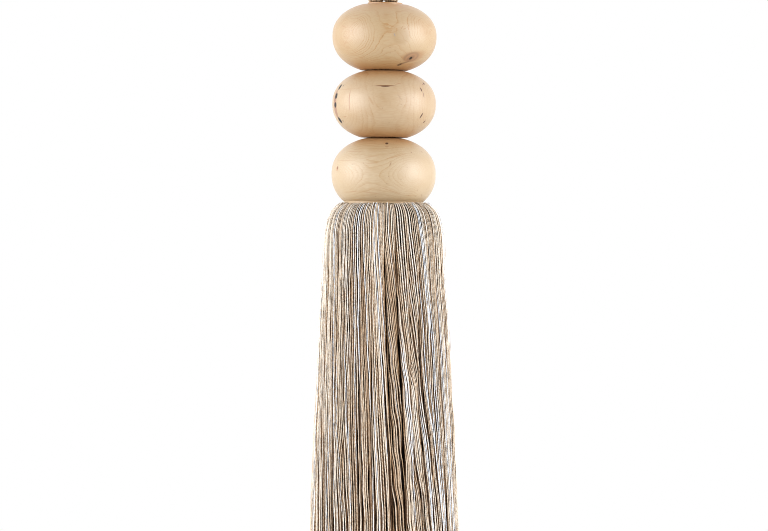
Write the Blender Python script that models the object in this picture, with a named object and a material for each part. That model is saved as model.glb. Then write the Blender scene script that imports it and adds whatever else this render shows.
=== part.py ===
"""A hanging tassel: three turned wooden beads above a skirt of cut yarn, threaded on a twisted loop.

Metres, +Z up. The origin is the inside top of the loop, where a hook or a knob carries the tassel, and
everything hangs below it on the Z axis. The front faces -Y. Each sub-part is one closed object.
"""

import math
import random
from collections import namedtuple

import bmesh
import bpy
from mathutils import Vector

MM = 0.001
SEAT_GAP = 0.3 * MM  # left between two pieces that touch

# ---- Beads: squashed ovals turned in pale wood, each with a flat top, a flat base and a bore.
Bead = namedtuple("Bead", "name height waist upper_reach lower_reach color")
# waist is the depth of the widest line below the flat top. A reach is how far from the waist the oval
# would close to a point, had the flat not cut it first. Millimetres.
BEADS = (
    Bead("bead_top", 36.0, 17.9, 19.3, 19.1, (0.66, 0.46, 0.28)),
    Bead("bead_middle", 36.6, 18.4, 19.3, 19.1, (0.64, 0.45, 0.28)),
    Bead("bead_bottom", 36.5, 19.7, 20.4, 21.0, (0.67, 0.49, 0.32)),
)
BEAD_RADIUS = 28.8 * MM
BEAD_FULLNESS = 2.3  # exponent of the oval: 2 is an ellipse, more is squarer
BEAD_SIDES = 40
BEAD_ARC_STEPS = 6  # from the waist to a flat
BORE_RADIUS = 8.0 * MM
COLLAR_RADIUS = 9.1 * MM  # low lip turned round the mouth of the top bead's bore
COLLAR_HEIGHT = 1.1 * MM

# ---- Cord: three plies laid up into one cord, doubled into the loop. Its legs run down the bores.
LOOP_HEIGHT = 70.0 * MM  # from the top bead's flat up to the inside top of the loop
CORD_RADIUS = 4.7 * MM
CORD_PLIES = 3
CORD_SIDES = 12
CORD_GROOVE = 0.32  # depth of the groove between plies, as a share of the radius
CORD_LAY = 28.0 * MM  # length of one full turn of the plies
CORD_RING_STEP = 2.3 * MM
RoutePoint = namedtuple("RoutePoint", "out height radius")
# One leg, from its end in the skirt's head up to the crown: distance from the axis, height above the top
# bead's flat, and the cord's radius, which the bores squeeze. Millimetres.
LEG_ROUTE = (
    RoutePoint(3.95, -120.7, 3.6),
    RoutePoint(3.95, -60.0, 3.6),
    RoutePoint(3.95, -8.0, 3.6),
    RoutePoint(4.05, -2.5, 3.5),
    RoutePoint(4.3, 1.3, 3.35),
    RoutePoint(4.4, 2.5, 4.6),
    RoutePoint(4.8, 9.0, 4.7),
    RoutePoint(6.0, 18.0, 4.7),
    RoutePoint(9.2, 29.0, 4.7),
    RoutePoint(14.0, 40.0, 4.7),
    RoutePoint(18.2, 50.0, 4.7),
    RoutePoint(18.6, 61.0, 4.7),
    RoutePoint(12.8, 69.8, 4.7),
    RoutePoint(0.0, 74.7, 4.7),
)
HIDDEN_SPANS = 2  # spans of the route deep inside the beads, where the cord is plain and straight

# ---- Skirt: locks of cut yarn that hang from a ribbed head, which seats under the bottom bead.
SKIRT_LENGTH = 215.0 * MM
HEM_UNEVENNESS = 4.0 * MM
SOCKET_DEPTH = 11.0 * MM  # of the hole in the head that takes the ends of the cord
SOCKET_SIDES = 24
RIB_DEPTH = 1.3 * MM  # of the ribs over the head's shoulder, where they meet the locks
OutlinePoint = namedtuple("OutlinePoint", "drop radius")
# The shoulder over which the yarn folds, and the skirt's outline below it. Drops from its top. Millimetres.
HEAD_OUTLINE = (
    OutlinePoint(0.0, 24.8),
    OutlinePoint(1.6, 27.5),
    OutlinePoint(4.8, 30.1),
    OutlinePoint(13.0, 32.5),
    OutlinePoint(14.0, 31.6),
)
SKIRT_OUTLINE = (
    OutlinePoint(0.0, 28.0),
    OutlinePoint(14.0, 32.4),
    OutlinePoint(25.0, 33.8),
    OutlinePoint(45.0, 34.4),
    OutlinePoint(60.0, 36.2),
    OutlinePoint(98.0, 37.2),
    OutlinePoint(118.0, 39.0),
    OutlinePoint(150.0, 39.9),
    OutlinePoint(165.0, 41.2),
    OutlinePoint(215.0, 42.6),
)
LockRing = namedtuple("LockRing", "locks sides crest thickness drops")
# Rings of locks, from the outside in: how many there are, the sides of each, where their crests lie and
# how thick they are, as shares of the outline's radius, and the drops in millimetres where each bends.
LOCK_RINGS = (
    LockRing(80, 4, 1.0, 0.095, (12.5, 27, 50, 86, 128, 172, 215)),
    LockRing(56, 3, 0.865, 0.105, (12.5, 40, 95, 155, 215)),
    LockRing(40, 3, 0.715, 0.135, (12.5, 75, 150, 215)),
    LockRing(24, 3, 0.53, 0.16, (12.5, 110, 215)),
    LockRing(12, 3, 0.31, 0.19, (12.5, 110, 215)),
)
ROOT_DROPS = 2  # drops at which a lock keeps straight, so that it runs on from its rib
LOCK_GAP = 0.5 * MM
LOCK_SPREAD = 0.22  # how much the widths of neighbouring locks differ
TIP_TAPER = 0.75
Parting = namedtuple("Parting", "bearing opens width")
# Where the skirt parts: bearing in degrees from the front towards +X, the drop at which the parting
# starts, and its width at the hem. Millimetres.
PARTINGS = (
    Parting(14.0, 20.0, 3.4),
    Parting(3.5, 50.0, 2.2),
    Parting(-21.0, 105.0, 2.6),
    Parting(30.0, 95.0, 2.0),
    Parting(-66.0, 60.0, 2.4),
    Parting(105.0, 40.0, 3.0),
    Parting(152.0, 70.0, 2.6),
    Parting(-118.0, 30.0, 3.0),
    Parting(-163.0, 90.0, 2.4),
)
PARTING_REACH = math.radians(20)
Sway = namedtuple("Sway", "waves rise turn amount")
# The slow waves in which the locks hang: waves round the skirt, waves down its length, the phase in
# radians, and the sideways swing at the hem as an angle in radians.
SWAYS = (
    Sway(3, 1.3, 0.4, 0.030),
    Sway(5, 2.1, 2.2, 0.016),
    Sway(8, 3.2, 4.1, 0.007),
)
SWELL = 0.7 * MM  # how far the same waves push the locks in and out


def clear_scene():
    """Remove every object that is already in the scene."""
    for obj in list(bpy.data.objects):
        bpy.data.objects.remove(obj, do_unlink=True)


def make_material(name, color, roughness):
    """A plain Principled material."""
    material = bpy.data.materials.new(name)
    material.use_nodes = True
    shader = material.node_tree.nodes["Principled BSDF"]
    shader.inputs["Base Color"].default_value = (*color, 1.0)
    shader.inputs["Roughness"].default_value = roughness
    shader.inputs["Metallic"].default_value = 0.0
    material.diffuse_color = (*color, 1.0)
    return material


def object_from(bm, name, material, parent=None):
    """Put the bmesh into a new object, with its faces pointing out."""
    bmesh.ops.recalc_face_normals(bm, faces=bm.faces)
    mesh = bpy.data.meshes.new(name)
    bm.to_mesh(mesh)
    bm.free()
    mesh.materials.append(material)
    obj = bpy.data.objects.new(name, mesh)
    obj.parent = parent
    bpy.context.scene.collection.objects.link(obj)
    return obj


def shade_round(obj):
    """Shade an object smooth, but for its sharp edges."""
    obj.data.shade_smooth()
    obj.data.set_sharp_from_angle(angle=math.radians(50))


def loft(bm, rings):
    """Skin a closed tube through rings of the same number of points, with a face on each end."""
    rows = [[bm.verts.new(point) for point in ring] for ring in rings]
    for lower, upper in zip(rows, rows[1:]):
        for side in range(len(lower)):
            after = (side + 1) % len(lower)
            bm.faces.new((lower[side], lower[after], upper[after], upper[side]))
    bm.faces.new(rows[0])
    bm.faces.new(rows[-1])


def boolean(obj, other, operation):
    """Join or cut obj with a helper object, which stays out of the result."""
    modifier = obj.modifiers.new(operation.title(), "BOOLEAN")
    modifier.operation = operation
    modifier.object = other
    other.hide_render = True
    other.display_type = "WIRE"


# ---- Beads


def oval_radius(rise, reach):
    """Radius of a bead at a height above or below its waist."""
    return BEAD_RADIUS * (1 - (rise / reach) ** BEAD_FULLNESS) ** (1 / BEAD_FULLNESS)


def oval_side(depth, reach):
    """(radius, rise) from the waist to the flat, in even steps of angle round the oval."""
    last = math.asin(depth / reach)
    rises = [reach * math.sin(last * step / BEAD_ARC_STEPS) for step in range(BEAD_ARC_STEPS + 1)]
    return [(oval_radius(rise, reach), rise) for rise in rises]


def bead_outline(bead):
    """Closed half section of a bead as (radius, height below its flat top), from the bore's mouth round."""
    waist, height = bead.waist * MM, bead.height * MM
    upper = oval_side(waist, bead.upper_reach * MM)
    lower = oval_side(height - waist, bead.lower_reach * MM)
    outline = [(radius, rise - waist) for radius, rise in reversed(upper)]
    outline += [(radius, -rise - waist) for radius, rise in lower[1:]]
    outline.append((BORE_RADIUS, -height))
    if bead is BEADS[0]:
        outline.append((BORE_RADIUS, COLLAR_HEIGHT))
        outline.append((COLLAR_RADIUS, COLLAR_HEIGHT))
        outline.append((COLLAR_RADIUS, 0.0))
    else:
        outline.append((BORE_RADIUS, 0.0))
    return outline


def make_bead(bead, top, parent):
    """Turn a bead's half section round the Z axis, and set it with its flat top at that height."""
    bm = bmesh.new()
    points = [bm.verts.new((radius, 0.0, height)) for radius, height in bead_outline(bead)]
    edges = [bm.edges.new(pair) for pair in zip(points, points[1:] + points[:1])]
    bmesh.ops.spin(
        bm,
        geom=points + edges,
        axis=(0, 0, 1),
        cent=(0, 0, 0),
        angle=math.tau,
        steps=BEAD_SIDES,
        use_merge=True,
    )
    obj = object_from(bm, bead.name, make_material(bead.name + "_wood", bead.color, 0.38), parent)
    obj.location.z = top
    shade_round(obj)


# ---- Cord


def smooth_between(before, start, end, after, share):
    """Catmull-Rom curve from start to end, between the points before and after them."""
    square, cube = share * share, share * share * share
    return 0.5 * (
        2 * start
        + (end - before) * share
        + (2 * before - 5 * start + 4 * end - after) * square
        + (3 * start - before - 3 * end + after) * cube
    )


def leg_line():
    """Points (out, height, radius) up one leg, close together but for its hidden spans."""
    route = [Vector(point) * MM for point in LEG_ROUTE]
    crown = route[-1]
    beyond = Vector((-route[-2].x, route[-2].y, route[-2].z))
    ends = [route[0], *route, beyond]
    line = []
    for span in range(len(route) - 1):
        before, start, end, after = ends[span : span + 4]
        steps = 1 if span < HIDDEN_SPANS else math.ceil((end - start).xy.length / CORD_RING_STEP)
        line += [smooth_between(before, start, end, after, step / steps) for step in range(steps)]
    return [*line, crown]


def cord_section(center, along, radius, turn):
    """One ring of the laid cord: rounded lobes, one for each ply, turned by an angle about its line."""
    across = Vector((along.z, 0.0, -along.x))
    deep = Vector((0.0, 1.0, 0.0))
    ring = []
    for side in range(CORD_SIDES):
        angle = math.tau * side / CORD_SIDES
        groove = CORD_GROOVE * (1 - abs(math.cos(CORD_PLIES * angle / 2)))
        outward = across * math.cos(angle + turn) + deep * math.sin(angle + turn)
        ring.append(center + outward * radius * (1 - groove))
    return ring


def make_cord(top, parent):
    """The loop and its two legs as one laid cord. Its plies turn only where the cord is in sight."""
    leg = leg_line()
    line = [(Vector((-out, 0.0, top + height)), radius) for out, height, radius in leg]
    line += [(Vector((out, 0.0, top + height)), radius) for out, height, radius in reversed(leg[:-1])]
    centers = [center for center, radius in line]
    rings, turn = [], 0.0
    for index, (center, radius) in enumerate(line):
        before = centers[max(index - 1, 0)]
        after = centers[min(index + 1, len(centers) - 1)]
        if HIDDEN_SPANS < index < len(line) - HIDDEN_SPANS:
            turn += math.tau * (center - before).length / CORD_LAY
        rings.append(cord_section(center, (after - before).normalized(), radius, turn))
    bm = bmesh.new()
    loft(bm, rings)
    obj = object_from(bm, "hanging_loop", make_material("loop_cord", (0.60, 0.50, 0.39), 0.8), parent)
    shade_round(obj)


# ---- Skirt


def read_outline(outline, drop):
    """Radius of an outline at a drop below the skirt's top, straight between its points."""
    drop = drop / MM
    for upper, lower in zip(outline, outline[1:]):
        if drop <= lower.drop:
            share = (drop - upper.drop) / (lower.drop - upper.drop)
            return (upper.radius + (lower.radius - upper.radius) * share) * MM
    return outline[-1].radius * MM


def on_skirt(bearing, radius, drop):
    """The point at a bearing from the front towards +X, a radius from the axis and a drop."""
    return Vector((radius * math.sin(bearing), -radius * math.cos(bearing), -drop))


def uneven_bounds(count, dice):
    """Bearings of the lines between neighbouring locks, once round, with uneven widths."""
    widths = [dice.uniform(1 - LOCK_SPREAD, 1 + LOCK_SPREAD) for lock in range(count)]
    bounds, total = [0.0], sum(widths)
    for width in widths:
        bounds.append(bounds[-1] + math.tau * width / total)
    return bounds


def sway_at(bearing, drop):
    """Sideways swing, as an angle, that grows with the drop."""
    share = drop / SKIRT_LENGTH
    waves = [
        sway.amount * math.sin(sway.waves * bearing + math.tau * sway.rise * share + sway.turn)
        for sway in SWAYS
    ]
    return sum(waves) * min(1.0, share * 2)


def swell_at(bearing, drop):
    """How far the skirt bulges at a place, which grows with the drop."""
    share = drop / SKIRT_LENGTH
    wave = math.sin(7 * bearing + math.tau * 1.6 * share) + 0.6 * math.sin(12 * bearing - 5 * share)
    return SWELL * wave * min(1.0, share * 1.5)


def parted(middle, bounds, drop, radius):
    """Angle by which the partings push a lock aside, from the bearing of its middle."""
    push = 0.0
    for parting in PARTINGS:
        opened = (drop / MM - parting.opens) / (SKIRT_LENGTH / MM - parting.opens)
        if opened <= 0:
            continue
        line = min(bounds, key=lambda bound: abs(turn_between(math.radians(parting.bearing), bound)))
        away = turn_between(line, middle)
        width = parting.width * MM * math.sqrt(opened)
        push += math.copysign(width / (2 * radius), away) * math.exp(-((away / PARTING_REACH) ** 2))
    return push


def turn_between(start, end):
    """The shorter turn from one bearing to another, in radians."""
    return (end - start + math.pi) % math.tau - math.pi


def lock_section(ring, left, right, bounds, drop, lean):
    """One ring of points of a lock: its crest, then its edges, and its back where it has four sides."""
    middle = (left + right) / 2
    outside = read_outline(SKIRT_OUTLINE, drop)
    radius = ring.crest * outside + swell_at(middle, drop)
    push = parted(middle, bounds, drop, radius)
    half_gap = LOCK_GAP / (2 * radius)
    left_edge = left + sway_at(left, drop) + push + half_gap
    right_edge = right + sway_at(right, drop) + push - half_gap
    crest = (left_edge + right_edge) / 2 + lean * (right_edge - left_edge)
    thick = ring.thickness * outside
    if drop > 0.9 * SKIRT_LENGTH:
        inward = (1 - TIP_TAPER) / 2
        left_edge, right_edge = (
            left_edge + inward * (right_edge - left_edge),
            right_edge - inward * (right_edge - left_edge),
        )
        thick *= TIP_TAPER
    edge_depth = thick * (0.45 if ring.sides == 4 else 1.0)
    points = [on_skirt(crest, radius, drop), on_skirt(right_edge, radius - edge_depth, drop)]
    if ring.sides == 4:
        points.append(on_skirt(crest, radius - thick, drop))
    points.append(on_skirt(left_edge, radius - edge_depth, drop))
    return points


def add_locks(bm, ring, bounds, dice):
    """Hang one ring of locks, each from inside the head down to its own hem."""
    for left, right in zip(bounds, bounds[1:]):
        hem = dice.uniform(0.0, HEM_UNEVENNESS)
        drops = [drop * MM for drop in ring.drops]
        drops[-1] -= hem
        leans = [0.0] * ROOT_DROPS + [dice.uniform(-0.22, 0.22) for drop in drops[ROOT_DROPS:]]
        loft(
            bm,
            [lock_section(ring, left, right, bounds, drop, lean) for drop, lean in zip(drops, leans)],
        )


def make_head(bounds, material, parent):
    """The tied head of the skirt: a low dome whose ribs run into the outer locks."""
    bm = bmesh.new()
    rings = []
    for point in HEAD_OUTLINE:
        rib = RIB_DEPTH * point.drop / HEAD_OUTLINE[-1].drop
        ring = []
        for left, right in zip(bounds, bounds[1:]):
            ring.append(on_skirt(left, point.radius * MM - rib, point.drop * MM))
            ring.append(on_skirt((left + right) / 2, point.radius * MM, point.drop * MM))
        rings.append(ring)
    loft(bm, rings)
    return object_from(bm, "skirt", material, parent)


def make_skirt(top, parent):
    """Fuse the locks to the head by their roots, and bore the head for the ends of the cord."""
    dice = random.Random(11)
    material = make_material("skirt_yarn", (0.55, 0.46, 0.37), 0.9)
    locks = bmesh.new()
    all_bounds = [uneven_bounds(ring.locks, dice) for ring in LOCK_RINGS]
    for ring, bounds in zip(LOCK_RINGS, all_bounds):
        add_locks(locks, ring, bounds, dice)
    lock_object = object_from(locks, "guide_locks", material, parent)
    socket = bmesh.new()
    bmesh.ops.create_cone(
        socket,
        cap_ends=True,
        segments=SOCKET_SIDES,
        radius1=BORE_RADIUS,
        radius2=BORE_RADIUS,
        depth=2 * SOCKET_DEPTH,
    )
    socket_object = object_from(socket, "guide_socket", material, parent)
    skirt = make_head(all_bounds[0], material, parent)
    for obj in (lock_object, socket_object, skirt):
        obj.location.z = top
    boolean(skirt, lock_object, "UNION")
    boolean(skirt, socket_object, "DIFFERENCE")


def main():
    clear_scene()
    hang_point = bpy.data.objects.new("hang_point", None)
    bpy.context.scene.collection.objects.link(hang_point)
    top = -LOOP_HEIGHT
    make_cord(top, hang_point)
    for bead in BEADS:
        make_bead(bead, top, hang_point)
        top -= bead.height * MM + SEAT_GAP
    make_skirt(top, hang_point)


main()
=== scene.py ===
"""Looks of a hanging tassel: three turned maple beads on a laid cord, above a full skirt of two-ply yarn.

Metres, +Z up, front towards -Y. The origin is the inside top of the loop, and the tassel hangs along Z.
"""

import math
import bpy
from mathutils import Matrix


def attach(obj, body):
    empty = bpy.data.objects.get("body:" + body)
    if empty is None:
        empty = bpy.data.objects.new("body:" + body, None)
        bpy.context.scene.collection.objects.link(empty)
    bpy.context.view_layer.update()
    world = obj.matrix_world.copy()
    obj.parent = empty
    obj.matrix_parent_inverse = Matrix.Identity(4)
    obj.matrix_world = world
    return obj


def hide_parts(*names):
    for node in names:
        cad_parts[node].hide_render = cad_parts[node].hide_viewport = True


bl_info = {
    "name": "Beaded Hanging Tassel",
    "version": (1, 0, 0),
    "blender": (4, 5, 0),
    "location": "3D View > Sidebar > Tassel",
    "description": "Turned beads, laid cord and yarn skirt of a hanging tassel",
    "category": "Object",
}

from collections import namedtuple

import bmesh
import bpy
import numpy as np
from mathutils import Matrix, Vector

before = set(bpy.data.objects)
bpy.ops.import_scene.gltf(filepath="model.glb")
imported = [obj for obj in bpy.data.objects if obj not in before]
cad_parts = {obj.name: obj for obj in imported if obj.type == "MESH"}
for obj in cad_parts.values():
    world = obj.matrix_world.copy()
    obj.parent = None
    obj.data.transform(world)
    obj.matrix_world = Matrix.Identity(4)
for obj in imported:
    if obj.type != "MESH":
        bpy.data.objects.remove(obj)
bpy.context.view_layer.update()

MM = 0.001


def linear(hex_color):
    """Linear RGBA of an sRGB hex colour."""
    channels = [int(hex_color[place : place + 2], 16) / 255 for place in (0, 2, 4)]
    return (*[c / 12.92 if c <= 0.04045 else ((c + 0.055) / 1.055) ** 2.4 for c in channels], 1.0)


def rows(kind, *values):
    """A table's rows, under the columns that the kind names."""
    return tuple(kind(*row) for row in values)


# ---- Beads. Each is a squashed oval with flat ends. A reach is how far from the waist the oval would close
# to a point, had the flat not cut it first. Millimetres and degrees.
Bead = namedtuple("Bead", "node height radius waist upper_reach lower_reach foot shift lean")
# foot holds the (radius, depth below the waist) points of a fuller foot. shift is how far towards +X the
# bead sits on its cord, and lean is the angle by which its other side is raised.
BEADS = rows(
    Bead,
    ("bead_top", 36.0, 28.65, 17.3, 18.8, 20.3, (), 0.26, 0.95),
    ("bead_middle", 36.6, 28.5, 18.1, 19.1, 20.2, (), 0.05, 0.62),
    ("bead_bottom", 36.5, 28.65, 19.8, 20.6, 21.9, ((22.05, 16.2), (21.8, 16.7)), -0.2, 0.62),
)
BEAD_FULLNESS = 2.2  # exponent of the oval: 2 is an ellipse, more is squarer
BEAD_ARC_STEPS = 22  # from the waist to a flat
FOOT_START = 15.6  # depth below the waist at which a fuller foot begins
BORE_RADIUS = 8.0
COLLAR_RADIUS = 9.6
COLLAR_HEIGHT = 1.1
SEAT_GAP = 0.3
ROUNDING = 0.35  # of the edges that turn by more than SHARP
SHARP = 30.0

# How each bead was cut from the tree. Its pith ran level through the bead, across the direction of a
# bearing from the front towards +X, so far in front of the bead's middle and above its waist. year is a
# year's growth, turn is how far the grain dips, and clearness is how well its lines show. early and late
# are the colours of spring and summer wood, and patches chooses the stretches where the lines fade.
Grain = namedtuple("Grain", "bearing rise pith year turn clearness early late patches")
GRAINS = {
    "bead_top": Grain(9.0, 0.4, 16.0, 0.64, 1.0, 1.25, "9C8563", "8A6028", 2.7),
    "bead_middle": Grain(4.0, -1.0, 9.0, 1.1, -3.0, 0.55, "9D8667", "87602A", 5.6),
    "bead_bottom": Grain(-14.0, -1.0, 19.0, 1.05, 5.0, 0.75, "A28E71", "8A6834", 1.3),
}
# Colours of marks.
BARK = "060200"
EDGE_BARK = "0A0401"
SPECK = "724B2A"
PALE_SPECK = "725536"
YEAR_LINE = "8D663A"
GUM_LINE = "865A2E"
AMBER_LINE = "8F6127"
TAN_LINE = "8D6336"
Mark = namedtuple("Mark", "bearing rise long short angle color strength")
# What a turner would call character: a pin knot with its eye, bark pockets, gum lines and specks. bearing
# and rise place a mark as above, long and short are its half sizes, and angle is how it climbs towards +X.
MARKS = {
    "bead_top": rows(
        Mark,
        (41.0, -12.2, 8.5, 5.4, 28.0, "8A6032", 0.65),
        (38.8, -12.5, 5.2, 3.9, 34.0, "5C3A1B", 0.75),
        (38.8, -12.6, 4.2, 2.9, 34.0, "8C643A", 0.8),
        (38.6, -12.9, 2.4, 1.5, 30.0, "6A4424", 0.7),
        (38.6, -13.0, 0.9, 0.75, 20.0, "060201", 1.0),
        (27.5, -16.3, 1.3, 0.6, 22.0, "140803", 1.0),
        (32.0, -15.6, 4.2, 0.5, 18.0, "65431F", 0.8),
        (7.6, 4.0, 3.4, 0.26, -23.0, AMBER_LINE, 0.5),
        (14.0, 1.9, 1.3, 0.32, 85.0, AMBER_LINE, 0.5),
        (9.4, 0.5, 2.2, 0.24, 14.0, AMBER_LINE, 0.45),
        (20.0, 3.1, 1.4, 0.26, 55.0, GUM_LINE, 0.55),
        (23.4, 2.6, 1.1, 0.3, 30.0, GUM_LINE, 0.5),
        (27.2, 3.0, 1.5, 0.3, -68.0, GUM_LINE, 0.45),
        (19.0, -1.5, 5.2, 4.8, 20.0, "80602F", 0.4),
        (11.6, -0.9, 0.95, 0.3, -64.0, "6A6B72", 0.6),
        (-51.0, 4.2, 2.6, 0.3, -18.0, TAN_LINE, 0.5),
        (-49.0, -4.4, 3.0, 0.3, 36.0, TAN_LINE, 0.45),
    ),
    "bead_middle": rows(
        Mark,
        (1.4, 8.7, 5.6, 0.3, 0.0, "5E3208", 0.95),
        (1.5, 8.4, 2.4, 0.3, 0.0, "462005", 1.0),
        (18.0, 9.9, 2.1, 0.22, 14.0, GUM_LINE, 0.6),
        (-71.0, -1.0, 2.2, 10.5, 0.0, "6E3B16", 0.75),
        (-67.5, 8.8, 1.3, 1.7, 0.0, EDGE_BARK, 1.0),
        (-68.5, 3.9, 1.7, 1.7, 0.0, BARK, 1.0),
        (-69.5, -1.0, 1.7, 1.5, 0.0, BARK, 1.0),
        (-69.0, -9.4, 1.7, 1.8, 0.0, EDGE_BARK, 1.0),
        (-71.0, 1.6, 0.8, 1.0, 0.0, "6E3E1D", 0.6),
        (-60.0, 9.4, 0.4, 0.6, 0.0, "482A1A", 0.8),
        (-61.0, -9.8, 0.4, 0.45, 0.0, "3B2215", 0.85),
        (-53.0, -7.7, 1.3, 0.25, 0.0, GUM_LINE, 0.6),
        (-46.0, 7.2, 8.6, 0.22, 0.0, TAN_LINE, 0.35),
        (-41.8, 1.1, 0.34, 6.0, 0.0, "7E5022", 0.8),
        (48.6, 7.0, 0.5, 1.2, 0.0, "4A220C", 1.0),
        (50.2, 4.2, 0.42, 1.6, 0.0, "6B4426", 0.85),
        (62.0, 10.6, 1.0, 0.6, 20.0, "4A2410", 0.95),
        (57.0, 10.0, 0.5, 0.5, 0.0, "6A3C1A", 0.8),
        (48.6, -7.2, 1.7, 0.5, 66.0, "45230F", 1.0),
        (60.0, -10.4, 1.0, 0.55, 40.0, "543017", 0.95),
        (58.0, -13.1, 0.32, 0.32, 0.0, "7B552E", 0.6),
        (-14.3, 0.5, 2.9, 0.55, -60.0, "8A6233", 0.4),
        (6.6, -1.1, 0.2, 1.7, 0.0, "866238", 0.4),
        (17.7, 2.2, 2.3, 0.22, -50.0, "726250", 0.35),
        (0.5, -8.7, 5.4, 0.2, 0.0, "86623B", 0.3),
    ),
    "bead_bottom": rows(
        Mark,
        (4.6, 16.2, 0.9, 0.6, 10.0, "3A1B0A", 1.0),
        (4.1, 14.4, 1.0, 0.5, 0.0, "7B5632", 0.5),
        (37.0, 11.2, 0.42, 0.36, 0.0, SPECK, 0.75),
        (58.8, 11.8, 0.5, 0.36, 0.0, SPECK, 0.7),
        (-62.5, 3.0, 0.8, 0.9, 0.0, "401B08", 1.0),
        (-63.0, 2.6, 1.2, 1.4, 0.0, "935D2E", 0.45),
        (7.1, 4.7, 1.15, 0.34, 62.0, "78532E", 0.65),
        (3.2, -5.9, 0.32, 0.32, 0.0, PALE_SPECK, 0.55),
        (19.0, -3.6, 0.34, 0.34, 0.0, PALE_SPECK, 0.45),
        (43.5, -9.3, 0.3, 0.4, 0.0, PALE_SPECK, 0.55),
        (33.0, -12.2, 0.36, 0.28, 0.0, SPECK, 0.55),
        (44.9, -12.4, 0.36, 0.28, 0.0, SPECK, 0.55),
        (56.6, -12.3, 0.6, 0.34, 0.0, SPECK, 0.7),
        (-13.0, 5.3, 3.4, 0.22, 4.0, YEAR_LINE, 0.55),
        (15.2, 9.0, 6.6, 0.22, 14.5, YEAR_LINE, 0.6),
        (-15.0, 8.9, 3.8, 0.22, 7.0, YEAR_LINE, 0.5),
        (-41.0, 12.0, 6.4, 0.22, 0.0, YEAR_LINE, 0.5),
        (-8.5, 12.7, 6.2, 0.2, 6.5, YEAR_LINE, 0.4),
        (-53.5, 6.9, 7.6, 0.22, 0.0, YEAR_LINE, 0.4),
        (-42.0, -10.1, 6.2, 0.22, 4.0, YEAR_LINE, 0.5),
        (-16.0, -10.8, 4.8, 0.2, -6.0, YEAR_LINE, 0.45),
        (8.7, -9.8, 7.8, 0.22, -16.5, YEAR_LINE, 0.5),
        (38.0, -12.2, 6.0, 0.2, -2.0, YEAR_LINE, 0.35),
        (-37.0, -14.3, 5.6, 0.22, 0.0, YEAR_LINE, 0.4),
    ),
}
MARK_DEPTH = 3.0  # half of how far a mark goes into the wood
# Patterns in the wood, by how many lie in a metre, and what they do in millimetres.
GRAIN_WAVES = 42.0  # slow waves of the grain, each 24 mm long
GRAIN_SWAY = 4.5
PATCHES = 55.0  # stretches of clear or faded lines, each 18 mm
FADED = 0.15  # clearness of a faded line over that of a clear one
CLOUDS = 60.0  # paler and darker clouds, each 17 mm
FIBRES = (2600.0, 2600.0, 160.0)  # a light and a dark one take 0.4 mm across the pith and 6 mm along it
FLAT_SHADE_START = 13.0  # from the axis: where the painted shade near the flats begins to fade, and where it ends
FLAT_SHADE_END = 25.0
SPECK_SPACING = 3.4

# ---- Loop: one leg of the cord, from its end in the skirt's head up to the crown. Millimetres.
RoutePoint = namedtuple("RoutePoint", "out height radius")
LEG_ROUTE = rows(
    RoutePoint,
    (3.95, -120.7, 3.6),
    (3.95, -60.0, 3.6),
    (3.95, -8.0, 3.6),
    (4.05, -2.5, 3.5),
    (4.3, 1.3, 3.35),
    (4.4, 2.5, 4.6),
    (4.8, 9.0, 4.7),
    (6.0, 18.0, 4.7),
    (9.2, 29.0, 4.7),
    (14.0, 40.0, 4.7),
    (18.2, 50.0, 4.7),
    (18.6, 61.0, 4.7),
    (12.8, 69.8, 4.7),
    (0.0, 74.7, 4.7),
)
ROUTE_STEPS = 24
CORD_TOP = -70.0  # height of the top bead's flat, from which the route's heights count
PLIES = 3
PLY_YARNS = 7
CORD_LAY = 28.85  # so that both legs leave the bead with a ply against the other leg
PLY_LAY = -17.0  # the yarns of a ply are laid the other way
CORD_STEP = 1.1
NECK = 122.4  # length of cord from its end to where it leaves the top bead
# Shares of the cord's radius: from its middle to a ply's, from there to a yarn's, and a yarn's own radius.
PLY_PLACE = 0.53
YARN_PLACE = 0.325
YARN_RADIUS = 0.155
CORD_TONES = (0.4, 0.55, 0.7, 0.85)
CORD_SIDES = 5
CORD_SEED = 3
MOUTH_DARK = 0.3  # painted shade darkens the cord up to so far above the collar, and then less so over MOUTH_FADE
MOUTH_FADE = 1.3

# ---- Skirt. Drops are below its top. Millimetres.
SKIRT_TOP = -180.0
MEAN_RADIUS = 37.5
OutlinePoint = namedtuple("OutlinePoint", "drop radius")
# From under the bottom bead, over the shoulder and down to the hem.
SKIRT_OUTLINE = rows(
    OutlinePoint,
    (1.1, 17.5),
    (0.5, 20.3),
    (-0.3, 22.6),
    (-0.5, 24.3),
    (0.3, 26.4),
    (1.9, 28.4),
    (4.6, 30.5),
    (9.0, 32.0),
    (16.0, 33.3),
    (28.0, 33.9),
    (45.0, 34.5),
    (60.0, 35.6),
    (82.0, 36.7),
    (101.0, 37.4),
    (121.0, 38.8),
    (142.0, 39.6),
    (162.0, 40.4),
    (185.0, 41.3),
    (215.0, 42.3),
)
OUTLINE_STEPS = 12
HEM_DROP = SKIRT_OUTLINE[-1].drop
Parting = namedtuple("Parting", "upper middle lower opens closes width sunk", defaults=(0.0,))
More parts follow.
